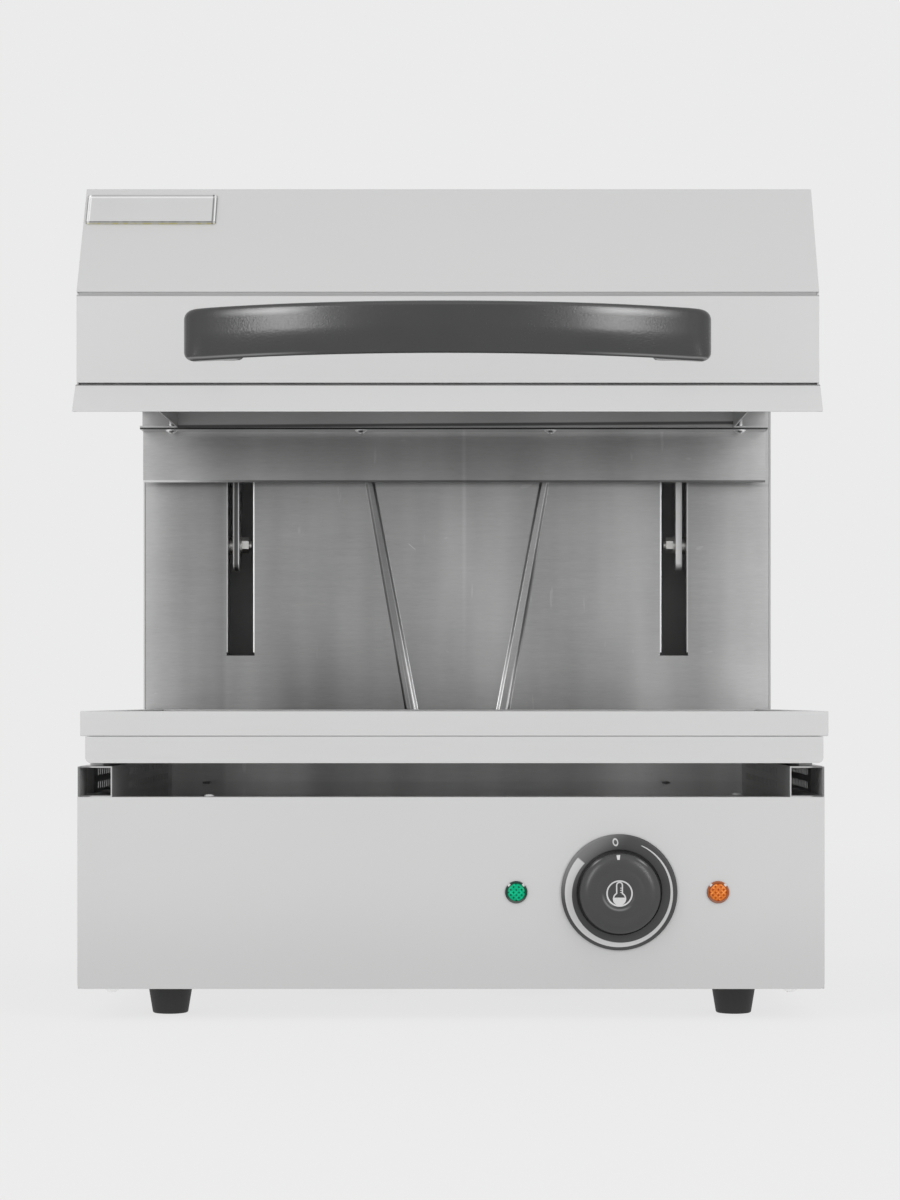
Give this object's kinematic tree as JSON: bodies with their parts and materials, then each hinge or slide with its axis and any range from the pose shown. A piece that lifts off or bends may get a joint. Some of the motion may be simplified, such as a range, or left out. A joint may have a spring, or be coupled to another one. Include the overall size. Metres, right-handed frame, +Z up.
{
  "type": "cheese melter",
  "caption": "Countertop lift-up cheese melter: a heated hood slides on a rear column above a wire rack and drip pan, with a dial and indicator lamps on the base.",
  "frame": {"origin": "centre of the bounding box's bottom face, on the surface the feet stand on", "axes": "+Z up, the control panel faces -Y, +X is the viewer's right"},
  "size_m": [0.4546, 0.492, 0.51],
  "materials": {
    "outer_steel": "satin stainless steel, very even",
    "column_steel": "stainless steel with a horizontal grain",
    "inner_steel": "bare stainless sheet",
    "zinc_steel": "zinc-plated steel",
    "bright_chrome": "polished chrome plating",
    "element_metal": "heat-stained nickel alloy sheath",
    "black_plastic": "satin black heat-proof plastic",
    "knob_plastic": "smooth black plastic",
    "control_plastic": "cream moulded plastic",
    "guide_nylon": "natural white nylon",
    "black_rubber": "moulded rubber",
    "green_plastic": "faceted green lens",
    "orange_plastic": "faceted orange lens",
    "lamp_glass": "clear glass",
    "terminal_brass": "bright brass",
    "white_ceramic": "glazed steatite",
    "wool": "mineral wool slab",
    "wire_sleeve": "silicone sleeve",
    "plate_metal": "polished blank plate"
  },
  "bodies": {
    "base": {"control_panel": "outer_steel", "left_side_panel": "outer_steel", "right_side_panel": "outer_steel", "column_cap": "outer_steel", "rear_cover": "outer_steel", "column_front_panel": "column_steel", "base_deck": "inner_steel", "left_rail": "inner_steel", "right_rail": "inner_steel", "bottom_plate": "inner_steel", "cabinet_screws": "zinc_steel", "foot_fasteners": "zinc_steel", "panel_nuts": "zinc_steel", "left_guide": "zinc_steel", "right_guide": "zinc_steel", "spring_anchor": "zinc_steel", "balance_springs": "zinc_steel", "lead_clamp": "zinc_steel", "rubber_feet": "black_rubber", "energy_regulator": "control_plastic", "terminal_block": "control_plastic", "dial_ring": "black_plastic", "cable_gland": "black_plastic", "gland_nut": "black_plastic", "lamp_bezels": "bright_chrome", "green_lens": "green_plastic", "orange_lens": "orange_plastic", "neon_lamps": "lamp_glass", "terminal_screws": "terminal_brass", "control_wiring": "wire_sleeve", "hood_lead": "wire_sleeve"},
    "knob": {"knob": "knob_plastic", "regulator_shaft": "zinc_steel"},
    "hood": {"hood_front_panel": "outer_steel", "hood_top_cover": "outer_steel", "hood_lip": "outer_steel", "left_cheek": "outer_steel", "right_cheek": "outer_steel", "hood_rear_panel": "outer_steel", "rear_skirt": "column_steel", "heating_chamber": "inner_steel", "element_hangers": "inner_steel", "skirt_screws": "zinc_steel", "slide_fasteners": "zinc_steel", "left_arm": "zinc_steel", "right_arm": "zinc_steel", "arm_fasteners": "zinc_steel", "cross_bar": "zinc_steel", "cross_bar_bolts": "zinc_steel", "handle_screws": "zinc_steel", "slide_blocks": "guide_nylon", "heating_elements": "element_metal", "terminal_insulators": "white_ceramic", "insulation": "wool", "handle": "black_plastic", "blank_plate": "plate_metal"},
    "drip_pan": {"drip_pan": "outer_steel"},
    "grill_rack": {"rack_frame": "outer_steel", "rack_wires": "bright_chrome"}
  },
  "joints": [
    {"name": "hood_slide", "type": "slide", "parent": "base", "child": "hood", "axis": [0, 0, 1], "range_m": [-0.13, 0], "deforming": ["balance_springs", "hood_lead"]},
    {"name": "knob_turn", "type": "hinge", "parent": "base", "child": "knob", "pos_m": [0.1013, -0.206, 0.0773], "axis": [0, 1, 0], "range_deg": [0, 310]},
    {"name": "drip_pan_slide", "type": "slide", "parent": "base", "child": "drip_pan", "axis": [0, -1, 0], "range_m": [0, 0.3]},
    {"name": "rack_lift", "type": "slide", "parent": "drip_pan", "child": "grill_rack", "axis": [0, 0, 1], "range_m": [0, 0.025]}
  ]
}
